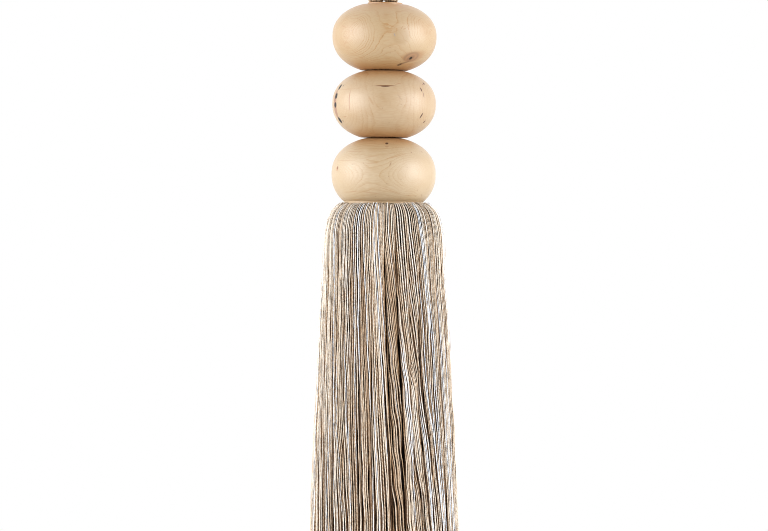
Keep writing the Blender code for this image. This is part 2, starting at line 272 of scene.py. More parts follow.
# Where the skirt parts into locks, once round: its bearings in degrees from the front towards +X at three
# levels, the drops between which it is open, its width, and how far the locks up to the next one lie in.
PARTING_DROPS = (30.0, 100.0, 195.0)
OPENING = 45.0  # length over which a parting opens
CLOSING = 25.0  # and over which it closes
LEAST_GAP = 0.1  # left in a parting where it is shut
PARTINGS = rows(
    Parting,
    (-160.0, -163.0, -161.0, 80, 240, 0.68),
    (-134.0, -136.0, -133.0, 35, 190, 0.52),
    (-110.0, -107.0, -110.0, 25, 240, 0.75),
    (-86.0, -88.0, -85.0, 90, 210, 0.52),
    (-64.0, -62.9, -60.0, 60, 130, 0.52),
    (-39.0, -36.8, -33.2, 95, 240, 0.6),
    (-21.8, -20.4, -19.6, 45, 240, 0.9),
    (-11.2, -10.9, -10.0, 30, 205, 0.45, 0.4),
    (0.3, 3.9, 7.3, 10, 240, 1.12, 1.4),
    (11.0, 15.6, 18.4, 6, 240, 1.12, 0.25),
    (35.0, 30.6, 33.0, 20, 240, 0.68),
    (57.0, 56.5, 55.0, 35, 100, 0.52),
    (80.0, 82.0, 79.0, 50, 240, 0.52),
    (104.0, 101.0, 105.0, 30, 240, 0.75),
    (127.0, 129.0, 126.0, 80, 190, 0.45),
    (152.0, 150.0, 153.0, 60, 240, 0.75),
    (176.0, 178.0, 175.0, 40, 240, 0.6),
)
LOCK_WIDTH = 6.4
LOCK_LEAN = 0.085  # how much the yarns on the face of a lock lean towards +X for each millimetre down
LOCK_HALF = 1.05  # half of the way from a lock's face to its back
LOCK_SHIFT = 0.28  # most by which a line between locks leaves its even place, as a share of a lock
LEVEL_STEP = 2.0  # between the drops at which locks are worked out
TWIST_START = 14.0  # drop at which locks begin to twist
Layer = namedtuple("Layer", "piece yarns depth spread sides rings face")
# Layers of yarn from the outside in. depth is how far in a layer's middle lies, and spread is how far its
# yarns lie above and below that. Each lock is slightly twisted, so that yarns with a face of 1 start on its
# face and pass to its back, those with -1 do the opposite, and those with 0 stay between.
LAYERS = rows(
    Layer,
    ("skirt_yarn_surface", 240, LOCK_HALF, 0.15, 4, 102, 1),
    ("skirt_yarn_under", 240, LOCK_HALF, 0.15, 4, 102, -1),
    ("skirt_yarn_middle", 190, 2.2, 0.45, 4, 80, 0),
    ("skirt_yarn_deep", 165, 3.2, 0.6, 3, 64, 0),
    ("skirt_yarn_inner", 150, 4.6, 0.7, 3, 48, 0),
)
CORE_YARNS = 1700
CORE_DEPTH = 5.6
CORE_DROP = 9.0  # of the core's roots, inside the head
CORE_RINGS = 10
CORE_WIDTH = 1.25  # of its yarns, over that of the others
CREST = 6.6  # length of yarn from its root under the bead to where it is highest
CREST_LENGTH = 2.4
CREST_RISE = (-0.1, 1.1)  # least and most by which a yarn rises there above its layer
HEAD_DROP = 2.0  # where yarns leave the head
FREE_LENGTH = 38.0  # over which they then come to hang free
YARN_FLATNESS = 0.8  # thickness of a two-ply yarn over its width
YARN_LAY = 2.2  # length in which its plies turn once
STRAY_SHARE = 0.1  # of the yarns wander from their place, by STRAY_REACH or so at the hem
STRAY_REACH = 3.2
USUAL_REACH = 0.5
STRAY_START = 30.0  # drop from which they wander, over STRAY_LENGTH
STRAY_LENGTH = 180.0
DARK_START = 0.5  # depth at which yarns begin to lie in the dark, and the way to where they do
DARK_DEPTH = 3.2
LIT_END = 12.0  # length above the hem over which yarns catch more light
# Tones of the yarns from blue white to taupe, and the share of each.
TONES = (0.06, 0.31, 0.46, 0.62, 0.82)
TONE_SHARES = (0.15, 0.3, 0.32, 0.17, 0.06)
TONE_SPREAD = 0.04
MATE_STEPS = (0.0, 0.06, 0.18)  # by how much a yarn's second ply is darker than its first
# Slow waves in how yarns hang: their size, in millimetres unless it says otherwise, and their lengths.
Wave = namedtuple("Wave", "size lengths")
CORD_WAVE = Wave(0.05, (9.0, 21.0))  # of a yarn in the cord, as a share
PARTING_WAVE = Wave(0.25, (24.0, 55.0))  # of a parting's width, as a share
LINE_WAVE = Wave(0.3, (100.0, 180.0))  # of the line between two locks
GAP_WAVE = Wave(0.15, (35.0, 75.0))  # of the gap there
SWAY = Wave(0.15, (70.0, 140.0))  # of a lock, sideways
KINK = Wave(0.05, (8.0, 14.0))  # of a yarn, sideways
BEND = Wave(0.14, (40.0, 90.0))
LIFT = Wave(0.12, (35.0, 80.0))  # of a yarn, in and out
ROCK = Wave(0.45, (8.0, 18.0))  # of a yarn's flat side, in radians
CORE_WAVE = Wave(0.03, (90.0, 180.0))  # of a yarn in the core, in radians

# ---- Stage. Metres and degrees.
VIEW_WIDTH = 0.4224  # what the camera sees from side to side at the tassel's axis
VIEW_MIDDLE = -0.2133
SENSOR = 36.0  # millimetres
BOX_BEARING = 68.0
BOX_DISTANCE = 1.5
BOX_RISE = 0.05
BOX_AIM = -0.2  # height on the axis that the soft boxes face
BOX_WIDE = 1.25
BOX_TALL = 1.2
FLOOR_RISE = -0.75
FLOOR_RADIUS = 4.0
FADE_START = 1.6  # radii between which the floor fades into the surroundings
FADE_END = 3.9


class TasselBeadSettings(bpy.types.PropertyGroup):
    """Sizes and finish of the beads."""

    girth: bpy.props.FloatProperty(
        name="Girth",
        description="How much wider than their drawn radius the beads are turned",
        default=0.0,
        unit="LENGTH",
        subtype="DISTANCE",
    )
    segments: bpy.props.IntProperty(name="Segments", description="Sides round a bead", default=128, min=24)
    gloss: bpy.props.FloatProperty(
        name="Oil Gloss",
        description="How much of the surface the oil film covers",
        default=1.0,
        min=0.0,
        max=1.0,
        subtype="FACTOR",
    )


class TasselYarnSettings(bpy.types.PropertyGroup):
    """Sizes and colours of the yarn."""

    width: bpy.props.FloatProperty(
        name="Width",
        description="Width of one yarn of the skirt",
        default=0.55 * MM,
        unit="LENGTH",
        subtype="DISTANCE",
    )
    unevenness: bpy.props.FloatProperty(
        name="Hem Unevenness",
        description="Most by which one yarn is shorter than another",
        default=4.0 * MM,
        unit="LENGTH",
        subtype="DISTANCE",
    )
    seed: bpy.props.IntProperty(name="Seed", description="Changes how the yarns lie", default=23)


class TasselStageSettings(bpy.types.PropertyGroup):
    """Light and camera."""

    distance: bpy.props.FloatProperty(
        name="Camera Distance",
        description="From the camera to the tassel's axis",
        default=2.0,
        unit="LENGTH",
        subtype="DISTANCE",
    )
    light: bpy.props.FloatProperty(
        name="Soft Box Radiance",
        description="Brightness of the two soft boxes",
        default=8.7,
    )
    surround: bpy.props.FloatProperty(
        name="Surround",
        description="Brightness of the white surroundings",
        default=1.35,
    )


# ---- Helpers

# Settings that several shader nodes share.
SMOOTH = {"interpolation_type": "SMOOTHSTEP"}
OVER = {"data_type": "RGBA"}  # one colour over another
TINT = {"data_type": "RGBA", "blend_type": "MULTIPLY"}


def add(tree, kind, inputs=None, stops=None, span=None, **settings):
    """Add a shader node with its settings. An input is a value, or the socket that it is linked from, or a
    node, for its first socket.

    stops are a ramp's positions and colours. span is a range's From Min and Max, then its To Min and Max.
    """
    node = tree.nodes.new("ShaderNode" + kind)
    for name, value in settings.items():
        setattr(node, name, value)
    for place, value in (inputs or {}).items():
        value = value.outputs[0] if isinstance(value, bpy.types.Node) else value
        if isinstance(value, bpy.types.NodeSocket):
            tree.links.new(value, node.inputs[place])
        else:
            node.inputs[place].default_value = value
    for index, (position, color) in enumerate(stops or ()):
        elements = node.color_ramp.elements
        element = elements[index] if index < 2 else elements.new(position)
        element.position = position
        element.color = linear(color)
    for place, value in zip(("From Min", "From Max", "To Min", "To Max"), span or ()):
        node.inputs[place].default_value = value
    return node


def from_axis(tree, place):
    """Distance of a place from the Z axis."""
    level = add(tree, "VectorMath", {0: place, 1: (1.0, 1.0, 0.0)}, operation="MULTIPLY")
    return add(tree, "VectorMath", {0: level.outputs[0]}, operation="LENGTH").outputs["Value"]


def new_material(name, values):
    """A material whose Principled shader has these values, with its node tree and shader."""
    material = bpy.data.materials.new(name)
    material.use_nodes = True
    shader = material.node_tree.nodes["Principled BSDF"]
    for place, value in values.items():
        shader.inputs[place].default_value = value
    return material, material.node_tree, shader


def finish_piece(name, mesh, material, slot, *nodes):
    """Make a mesh a piece of the tassel, in place of its CAD nodes."""
    mesh.materials.append(material)
    piece = bpy.data.objects.new(name, mesh)
    bpy.context.scene.collection.objects.link(piece)
    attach(piece, "root")
    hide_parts(*nodes)
    return piece


def catmull_rom(points, steps):
    """A smooth curve through rows of numbers, with so many steps between two rows."""
    points = np.asarray(points, float)
    ends = np.vstack([2 * points[0] - points[1], points, 2 * points[-1] - points[-2]])
    line = []
    for before, start, end, after in zip(ends, ends[1:], ends[2:], ends[3:]):
        square = 2 * before - 5 * start + 4 * end - after
        cube = 3 * start - before - 3 * end + after
        for t in np.linspace(0, 1, steps, endpoint=False):
            line.append(0.5 * (2 * start + (end - before) * t + square * t**2 + cube * t**3))
    return np.array([*line, points[-1]])


def tubes(name, centers, across, half_wide, half_thick, turn, lengths, cavity, tones, sides):
    """One mesh of many closed tubes, each through its own row of centres.

    centers is (tubes, rings, 3) and across is the direction in which a section is wide before it turns.
    half_wide, half_thick, turn, lengths and cavity are (tubes, rings). tones is (tubes, 2), one per ply.
    """
    count, rings = centers.shape[:2]
    along = np.gradient(centers, axis=1)
    along /= np.linalg.norm(along, axis=2, keepdims=True)
    across = across - (across * along).sum(2, keepdims=True) * along
    across /= np.linalg.norm(across, axis=2, keepdims=True)
    deep = np.cross(along, across)
    points = np.empty((count, rings, sides, 3))
    for side in range(sides):
        angle = math.tau * side / sides
        wide = half_wide * math.cos(angle)
        thick = half_thick * math.sin(angle)
        outward = (wide * np.cos(turn) - thick * np.sin(turn))[..., None] * across
        outward += (wide * np.sin(turn) + thick * np.cos(turn))[..., None] * deep
        points[:, :, side] = centers + outward
    index = np.arange(count * rings * sides).reshape(count, rings, sides)
    after = np.roll(index, -1, axis=2)
    quads = np.stack([index[:, :-1], after[:, :-1], after[:, 1:], index[:, 1:]], axis=-1).reshape(-1, 4)
    caps = np.concatenate([index[:, 0, ::-1], index[:, -1]])
    corners = np.concatenate([quads.ravel(), caps.ravel()])
    sizes = np.concatenate([np.full(len(quads), 4), np.full(len(caps), sides)])
    mesh = bpy.data.meshes.new(name)
    mesh.vertices.add(count * rings * sides)
    mesh.vertices.foreach_set("co", points.astype(np.float32).ravel())
    mesh.loops.add(len(corners))
    mesh.loops.foreach_set("vertex_index", corners.astype(np.int32))
    mesh.polygons.add(len(sizes))
    mesh.polygons.foreach_set("loop_start", (np.cumsum(sizes) - sizes).astype(np.int32))
    mesh.polygons.foreach_set("use_smooth", np.arange(len(sizes)) < len(quads))
    # The map's U goes once round a tube, and its V is the length along it in millimetres.
    around = np.broadcast_to(np.arange(sides) / sides, (count, rings, sides))
    length = np.broadcast_to(lengths[..., None], (count, rings, sides))
    uv = np.stack([around, length], axis=-1)
    step = (1 / sides, 0.0)
    wall = np.stack([uv[:, :-1], uv[:, :-1] + step, uv[:, 1:] + step, uv[:, 1:]], axis=-2)
    ends = uv[:, [0, -1]].swapaxes(0, 1)
    lay = mesh.uv_layers.new(name="lay")
    lay.data.foreach_set("uv", np.concatenate([wall.ravel(), ends.ravel()]).astype(np.float32))
    tone, mate = np.repeat(tones, rings * sides, axis=0).T
    for label, values in (("tone", tone), ("mate", mate), ("cavity", np.repeat(cavity, sides))):
        attribute = mesh.attributes.new(label, "FLOAT", "POINT")
        attribute.data.foreach_set("value", values.astype(np.float32))
    mesh.update()
    mesh.validate()
    return mesh


def waves(dice, count, along, wave):
    """Rows of smooth random waves of about the wave's lengths, mostly within its size."""
    total = np.zeros((count, len(along)))
    for length in wave.lengths:
        stretched = length * dice.uniform(0.75, 1.35, (count, 1))
        total += np.sin(math.tau * along / stretched + dice.uniform(0, math.tau, (count, 1)))
    return wave.size * (total / math.sqrt(len(wave.lengths)))


def eased(share):
    """0 to 1, with a soft start and end."""
    share = np.clip(share, 0, 1)
    return share * share * (3 - 2 * share)


def picked_tones(dice, count):
    """(count, 2) tones for the two plies of each yarn, one a little darker than the other."""
    tones = np.repeat(dice.choice(TONES, (count, 1), p=TONE_SHARES), 2, axis=1)
    tones[:, 1] += dice.choice(MATE_STEPS, count)
    return np.clip(tones + dice.normal(0, TONE_SPREAD, (count, 2)), 0, 1)


# ---- Materials


def yarn_material():
    """Cotton and linen yarn, laid from two plies: matt, with painted shade in its grooves and in the
    depths.
    """
    values = {"Roughness": 0.72, "IOR": 1.53, "Specular IOR Level": 0.1}
    material, tree, shader = new_material("two_ply_cotton_linen_yarn", values)
    uv = add(tree, "UVMap", uv_map="lay").outputs["UV"]
    place = add(tree, "SeparateXYZ", {0: uv})
    tone = add(tree, "Attribute", attribute_name="tone").outputs["Fac"]
    mate = add(tree, "Attribute", attribute_name="mate").outputs["Fac"]
    # Each of the two plies fills half of the yarn's surface.
    laid = add(tree, "Math", {0: place.outputs["Y"], 1: 1 / YARN_LAY}, operation="MULTIPLY")
    phase = add(tree, "Math", {0: place.outputs["X"], 1: laid}, operation="ADD")
    ply = add(tree, "Math", {0: phase, 1: 0.5}, operation="PINGPONG")
    side = add(tree, "MapRange", {"Value": ply}, span=(0.2, 0.3), **SMOOTH)
    mixed = add(tree, "Mix", {0: side, 2: tone, 3: mate}, data_type="FLOAT")
    # Slubs and uneven dyeing, a few millimetres long.
    slub = add(
        tree,
        "TexNoise",
        {"Vector": uv, "Scale": 0.3, "Detail": 3.0, "Roughness": 0.7},
        noise_dimensions="2D",
    )
    shifted = add(tree, "MapRange", {"Value": slub.outputs["Fac"]}, span=(0.3, 0.7, -0.1, 0.1))
    shade = add(tree, "Math", {0: mixed, 1: shifted}, operation="ADD")
    dyed = add(
        tree,
        "ValToRGB",
        {0: shade},
        stops=((0.0, "D9E3F2"), (0.2, "E4E0DB"), (0.5, "D3C5B3"), (0.77, "B59D84"), (1.0, "846C56")),
    )
    # Painted shade in the grooves between the plies, with a bump to match.
    groove = add(tree, "Math", {0: phase, 1: 2.0}, operation="MULTIPLY")
    lobe = add(tree, "Math", {0: groove, 1: 0.5}, operation="PINGPONG")
    raised = add(tree, "MapRange", {"Value": lobe}, span=(0.0, 0.35), **SMOOTH)
    depth = add(tree, "MapRange", {"Value": raised}, span=(0.0, 1.0, 0.82, 1.0))
    # Little light reaches the yarns that lie deep between the others.
    cavity = add(tree, "Attribute", attribute_name="cavity").outputs["Fac"]
    dimmed = add(
        tree,
        "ValToRGB",
        {0: cavity},
        stops=((0.0, "FFFFFF"), (0.26, "DAC4AB"), (0.6, "89705C"), (1.0, "433A33")),
    )
    groove_shaded = add(tree, "Mix", {0: 1.0, 6: dyed, 7: depth}, **TINT)
    colored = add(tree, "Mix", {0: 1.0, 6: groove_shaded.outputs[2], 7: dimmed}, **TINT)
    tree.links.new(colored.outputs[2], shader.inputs["Base Color"])
    bump = add(tree, "Bump", {"Height": raised, "Strength": 0.35, "Distance": 0.12 * MM})
    tree.links.new(bump.outputs[0], shader.inputs["Normal"])
    return material


def oval(rise, reach, radius):
    """Radius of a bead so far above or below its waist."""
    return radius * (1 - (rise / reach) ** BEAD_FULLNESS) ** (1 / BEAD_FULLNESS)


def marked(tree, place, color, bead, waist):
    """The wood's colour under the bead's marks, each of which fills an ellipsoid along the surface."""
    for mark in MARKS[bead.node]:
        reach = bead.upper_reach if mark.rise > 0 else bead.lower_reach
        out = oval(abs(mark.rise), reach, bead.radius)
        bearing = math.radians(mark.bearing)
        spot = (out * math.sin(bearing) * MM, -out * math.cos(bearing) * MM, waist + mark.rise * MM)
        near = add(
            tree,
            "Mapping",
            {
                "Vector": place,
                "Location": spot,
                "Rotation": (0.0, -math.radians(mark.angle), bearing),
                "Scale": (mark.long * MM, MARK_DEPTH * MM, mark.short * MM),
            },
            vector_type="TEXTURE",
        )
        distance = add(tree, "VectorMath", {0: near}, operation="LENGTH")
        cover = add(
            tree,
            "MapRange",
            {"Value": distance.outputs["Value"]},
            span=(0.7, 1.25, mark.strength, 0.0),
            **SMOOTH,
        )
        color = add(tree, "Mix", {0: cover, 6: color, 7: linear(mark.color)}, **OVER).outputs[2]
    return color


def wood_material(bead, waist, settings):
    """Maple, turned, sanded and oiled: pale, with fine growth lines, a satin gloss and the tree's marks."""
    values = {"Roughness": 0.6, "IOR": 1.5, "Specular IOR Level": 0.45, "Coat Roughness": 0.5}
    material, tree, shader = new_material("oiled_maple_" + bead.node, values)
    grain = GRAINS[bead.node]
    place = add(tree, "TexCoord").outputs["Object"]
    warp = add(tree, "TexNoise", {"Vector": place, "Scale": GRAIN_WAVES, "Detail": 3.0, "Roughness": 0.55})
    centred = add(tree, "VectorMath", {0: warp.outputs["Color"], 1: (0.5, 0.5, 0.5)}, operation="SUBTRACT")
    small = add(tree, "VectorMath", {0: centred, "Scale": GRAIN_SWAY * MM}, operation="SCALE")
    grown = add(tree, "VectorMath", {0: place, 1: small}, operation="ADD")
    # The pith runs level and across the middle of the figure.
    bearing = math.radians(grain.bearing)
    pith = Vector((math.sin(bearing), -math.cos(bearing), 0.0)) * grain.pith * MM
    local = add(
        tree,
        "Mapping",
        {
            "Vector": grown,
            "Location": (pith.x, pith.y, waist + grain.rise * MM),
            "Rotation": (math.radians(90), math.radians(grain.turn), bearing + math.radians(90)),
        },
        vector_type="TEXTURE",
    )
    from_pith = from_axis(tree, local)
    years = add(tree, "Math", {0: from_pith, 1: 1 / (grain.year * MM)}, operation="MULTIPLY")
    year = add(tree, "Math", {0: years}, operation="FLOOR")
    season = add(tree, "Math", {0: years}, operation="FRACT")
    line = add(tree, "Math", {0: season, 1: 4.0}, operation="POWER")
    kind_of_year = add(tree, "TexWhiteNoise", {"W": year}, noise_dimensions="1D")
    patch = add(
        tree,
        "TexNoise",
        {"Vector": place, "W": grain.patches, "Scale": PATCHES, "Detail": 1.0},
        noise_dimensions="4D",
    )
    clear = add(
        tree,
        "MapRange",
        {"Value": patch.outputs["Fac"]},
        span=(0.38, 0.62, FADED * grain.clearness, grain.clearness),
    )
    hard = add(tree, "MapRange", {"Value": kind_of_year}, span=(0.0, 1.0, 0.2, 1.0))
    contrast = add(tree, "Math", {0: hard, 1: clear}, operation="MULTIPLY")
    growth = add(tree, "Math", {0: line, 1: contrast}, operation="MULTIPLY")
    # Fibres run along the pith.
    fibre_place = add(tree, "VectorMath", {0: local, 1: FIBRES}, operation="MULTIPLY")
    fibre = add(tree, "TexNoise", {"Vector": fibre_place, "Scale": 1.0, "Detail": 3.0, "Roughness": 0.6})
    fibre_shade = add(tree, "MapRange", {"Value": fibre.outputs["Fac"]}, span=(0.3, 0.7, -0.18, 0.24))
    cloud = add(tree, "TexNoise", {"Vector": place, "Scale": CLOUDS, "Detail": 4.0, "Roughness": 0.6})
    cloud_shade = add(tree, "MapRange", {"Value": cloud.outputs["Fac"]}, span=(0.38, 0.68, 0.0, 0.28))
    summed = add(tree, "Math", {0: growth, 1: fibre_shade}, operation="ADD")
    shade = add(tree, "Math", {0: summed, 1: cloud_shade}, operation="ADD", use_clamp=True)
    color = add(tree, "Mix", {0: shade, 6: linear(grain.early), 7: linear(grain.late)}, **OVER).outputs[2]
    # Painted shade: the wood is darker and warmer towards the cord, near the flats where the beads meet.
    out = from_axis(tree, place)
    flat_shade = add(tree, "MapRange", {"Value": out}, span=(FLAT_SHADE_START * MM, FLAT_SHADE_END * MM, 1.0, 0.0), **SMOOTH)
    color = add(tree, "Mix", {0: flat_shade, 6: color, 7: linear("FFE2BC")}, **TINT).outputs[2]
    # Specks of up to 0.7 mm, less than one to the square centimetre.
    cells = add(tree, "TexVoronoi", {"Vector": place, "Scale": 1 / (SPECK_SPACING * MM), "Randomness": 1.0})
    cell = add(tree, "SeparateColor", {0: cells.outputs["Color"]})
    chosen = add(tree, "Math", {0: cell, 1: 0.62}, operation="GREATER_THAN")
    dot = add(tree, "MapRange", {"Value": cells.outputs["Distance"]}, span=(0.06, 0.11, 0.55, 0.0))
    speck = add(tree, "Math", {0: dot, 1: chosen}, operation="MULTIPLY")
    color = add(tree, "Mix", {0: speck, 6: color, 7: linear("6B4526")}, **OVER).outputs[2]
    color = marked(tree, place, color, bead, waist)
    tree.links.new(color, shader.inputs["Base Color"])
    # Bark and the eye of the knot are open pores, which the oil doesn't fill.
    light = add(tree, "RGBToBW", {0: color})
    film = add(tree, "MapRange", {"Value": light}, span=(0.02, 0.1, 0.0, settings.gloss))
    tree.links.new(film.outputs[0], shader.inputs["Coat Weight"])
    bump = add(tree, "Bump", {"Height": fibre.outputs["Fac"], "Strength": 0.12, "Distance": 0.05 * MM})
    tree.links.new(bump.outputs[0], shader.inputs["Normal"])
    return material


# ---- Pieces


class TASSEL_OT_stage(bpy.types.Operator):
    """Set the camera, the floor, the soft boxes and the white surroundings"""

    bl_idname = "tassel.stage"
    bl_label = "Stage"

    def execute(self, context):
        settings = context.scene.tassel_stage
        scene = context.scene
        scene.view_settings.view_transform = "Standard"
        scene.cycles.filter_width = 1.0
        camera = bpy.data.objects.new("camera", bpy.data.cameras.new("camera"))
        scene.collection.objects.link(camera)
        camera.location = (0.0, -settings.distance, VIEW_MIDDLE)
        camera.rotation_euler = (math.radians(90), 0.0, 0.0)
        camera.data.sensor_width = SENSOR
        camera.data.lens = SENSOR * settings.distance / VIEW_WIDTH
        scene.camera = camera
        for name, bearing in (("soft_box_left", -BOX_BEARING), ("soft_box_right", BOX_BEARING)):
            light = bpy.data.lights.new(name, "AREA")
            light.shape = "RECTANGLE"
            light.size, light.size_y = BOX_WIDE, BOX_TALL
            light.energy = settings.light * math.pi * BOX_WIDE * BOX_TALL
            box = bpy.data.objects.new(name, light)
            scene.collection.objects.link(box)
            turned = math.radians(bearing)
            box.location = (BOX_DISTANCE * math.sin(turned), -BOX_DISTANCE * math.cos(turned), BOX_RISE)
            aim = Vector((0.0, 0.0, BOX_AIM)) - box.location
            box.rotation_euler = aim.to_track_quat("-Z", "Y").to_euler()
        self.make_floor(scene)
        self.make_surround(scene, settings.surround)
        return {"FINISHED"}

    def make_floor(self, scene):
        """A pale matt floor, well below the hem, whose rim fades into the surroundings."""
        bm = bmesh.new()
        bmesh.ops.create_circle(bm, cap_ends=True, segments=96, radius=FLOOR_RADIUS)
        bmesh.ops.translate(bm, verts=bm.verts, vec=(0.0, 0.0, FLOOR_RISE))
        mesh = bpy.data.meshes.new("floor")
        bm.to_mesh(mesh)
        bm.free()
        values = {"Base Color": linear("C9C7C3"), "Roughness": 0.9, "Emission Color": linear("FFFFFF")}
        material, tree, shader = new_material("matt_white_floor_paint", values)
        out = from_axis(tree, add(tree, "TexCoord").outputs["Object"])
        rim = add(tree, "MapRange", {"Value": out}, span=(FADE_START, FADE_END), **SMOOTH)
        tree.links.new(rim.outputs[0], shader.inputs["Emission Strength"])
        mesh.materials.append(material)
        floor = bpy.data.objects.new("floor", mesh)
        scene.collection.objects.link(floor)

    def make_surround(self, scene, strength):
        """White surroundings that light the tassel from behind and the sides more than from the front."""
        world = bpy.data.worlds.new("white_surround")
        scene.world = world
        world.use_nodes = True
        tree = world.node_tree
        background = tree.nodes["Background"]
        direction = add(tree, "TexCoord").outputs["Generated"]
        parts = add(tree, "SeparateXYZ", {0: direction})
        behind = add(tree, "MapRange", {"Value": parts.outputs["Y"]}, span=(-0.9, 0.3, 0.2, 1.0), **SMOOTH)
        lit = add(tree, "Math", {0: behind, 1: strength}, operation="MULTIPLY")
        seen = add(tree, "LightPath").outputs["Is Camera Ray"]
        shown = add(tree, "Mix", {0: seen, 2: lit, 3: 1.0}, data_type="FLOAT")
        tree.links.new(shown.outputs[0], background.inputs["Strength"])
        background.inputs["Color"].default_value = (1.0, 1.0, 1.0, 1.0)


class TASSEL_OT_loop(bpy.types.Operator):
    """Lay the loop's cord from three plies of seven yarns each"""

    bl_idname = "tassel.loop"
    bl_label = "Hanging Loop"

    def execute(self, context):
        leg = catmull_rom(LEG_ROUTE, ROUTE_STEPS)
        line = np.array([(-out, 0.0, CORD_TOP + height, radius) for out, height, radius in leg])
        line = np.vstack([line, line[-2::-1] * (-1, 1, 1, 1)])
        steps = np.linalg.norm(np.diff(line[:, :3], axis=0), axis=1)
        run = np.concatenate([[0.0], np.cumsum(steps)])
        stations = np.linspace(0.0, run[-1], round(run[-1] / CORD_STEP))
        line = np.stack([np.interp(stations, run, column) for column in line.T], axis=1)
        path, radius = line[:, :3], line[:, 3]
        along = np.gradient(path, axis=0)
        along /= np.linalg.norm(along, axis=1, keepdims=True)
        across = np.stack([along[:, 2], np.zeros(len(along)), -along[:, 0]], axis=1)
        deep = np.broadcast_to((0.0, 1.0, 0.0), across.shape)
        dice = np.random.default_rng(CORD_SEED)
        centers, widths = [], []
        yarn = radius * YARN_RADIUS
        for ply in range(PLIES):
            turned = math.tau * ((stations - NECK) / CORD_LAY + ply / PLIES)
            spoke = np.cos(turned)[:, None] * across + np.sin(turned)[:, None] * deep
            ply_center = path + spoke * (radius * PLY_PLACE)[:, None]
            for strand in range(PLY_YARNS):
                angle = math.tau * (stations / PLY_LAY + strand / PLY_YARNS) + turned
                arm = np.cos(angle)[:, None] * across + np.sin(angle)[:, None] * deep
                wobble = 1 + waves(dice, 1, stations, CORD_WAVE)[0]
                centers.append(ply_center + arm * (radius * YARN_PLACE * wobble)[:, None])
                widths.append(yarn * dice.uniform(0.95, 1.08))
        shape = len(centers), len(stations)
        widths = np.array(widths)
        # Painted shade: the cord is darkened in the bores and at the mouth of the top one.
        cavity = 1 - eased((path[:, 2] - CORD_TOP - COLLAR_HEIGHT - MOUTH_DARK) / MOUTH_FADE)
        mesh = tubes(
            "hanging_loop_cord",
            np.array(centers) * MM,
            np.broadcast_to((0.0, 1.0, 0.0), (*shape, 3)),
            widths * MM,
            widths * MM,
            np.zeros(shape),
            np.broadcast_to(stations, shape),
            np.broadcast_to(cavity, shape),
            np.repeat(dice.choice(CORD_TONES, (shape[0], 1)), 2, axis=1),
            CORD_SIDES,
        )
        piece = finish_piece("hanging_loop_cord", mesh, yarn_material(), "loop_cord", "hanging_loop")
        return {"FINISHED"}


class TASSEL_OT_beads(bpy.types.Operator):
    """Turn the three beads in maple"""

    bl_idname = "tassel.beads"
    bl_label = "Beads"

    def execute(self, context):
        settings = context.scene.tassel_beads
        top = CORD_TOP
        for bead in BEADS:
            mesh = self.turned(bead, top, settings)
            material = wood_material(bead, (top - bead.waist) * MM, settings)
            finish_piece(bead.node + "_maple", mesh, material, "bead_wood", bead.node)
            top -= bead.height + SEAT_GAP
        return {"FINISHED"}

    def side(self, depth, reach, radius):
        """(radius, rise) from the waist to a flat, in even steps of angle round the oval."""
        last = math.asin(depth / reach)
        rises = [reach * math.sin(last * step / BEAD_ARC_STEPS) for step in range(BEAD_ARC_STEPS + 1)]
        return [(oval(rise, reach, radius), rise) for rise in rises]

    def turned(self, bead, top, settings):
        """Spin a bead's half section about the Z axis, round its edges, and set it on the cord."""
        radius = bead.radius + settings.girth / MM
        upper = self.side(bead.waist, bead.upper_reach, radius)
        lower = self.side(bead.height - bead.waist, bead.lower_reach, radius)
        if bead.foot:
            lower = [point for point in lower if point[1] < FOOT_START] + list(bead.foot)
        outline = [(out, rise - bead.waist) for out, rise in reversed(upper)]
        outline += [(out, -rise - bead.waist) for out, rise in lower[1:]]
        outline += [(BORE_RADIUS, -bead.height)]
        if bead is BEADS[0]:
            outline += [(BORE_RADIUS, COLLAR_HEIGHT), (COLLAR_RADIUS, COLLAR_HEIGHT), (COLLAR_RADIUS, 0.0)]
        else:
            outline += [(BORE_RADIUS, 0.0)]
        bm = bmesh.new()
        points = [bm.verts.new((out * MM, 0.0, (top + height) * MM)) for out, height in outline]
        edges = [bm.edges.new(pair) for pair in zip(points, points[1:] + points[:1])]
        bmesh.ops.spin(
            bm,
            geom=points + edges,
            axis=(0, 0, 1),
            cent=(0, 0, 0),
            angle=math.tau,
            steps=settings.segments,
            use_merge=True,
        )
        bmesh.ops.recalc_face_normals(bm, faces=bm.faces)
        corners = [edge for edge in bm.edges if edge.calc_face_angle(0) > math.radians(SHARP)]
        bmesh.ops.bevel(
            bm, geom=corners, offset=ROUNDING * MM, segments=3, profile=0.5, affect="EDGES", material=-1
        )
        middle = Vector((0.0, 0.0, (top - bead.height / 2) * MM))
        leaning = Matrix.Rotation(math.radians(bead.lean), 3, "Y")
        bmesh.ops.rotate(bm, verts=bm.verts, cent=middle, matrix=leaning)
        bmesh.ops.translate(bm, verts=bm.verts, vec=(bead.shift * MM, 0.0, 0.0))
        for face in bm.faces:
            face.smooth = True
        mesh = bpy.data.meshes.new(bead.node + "_maple")
        bm.to_mesh(mesh)
        bm.free()
        return mesh


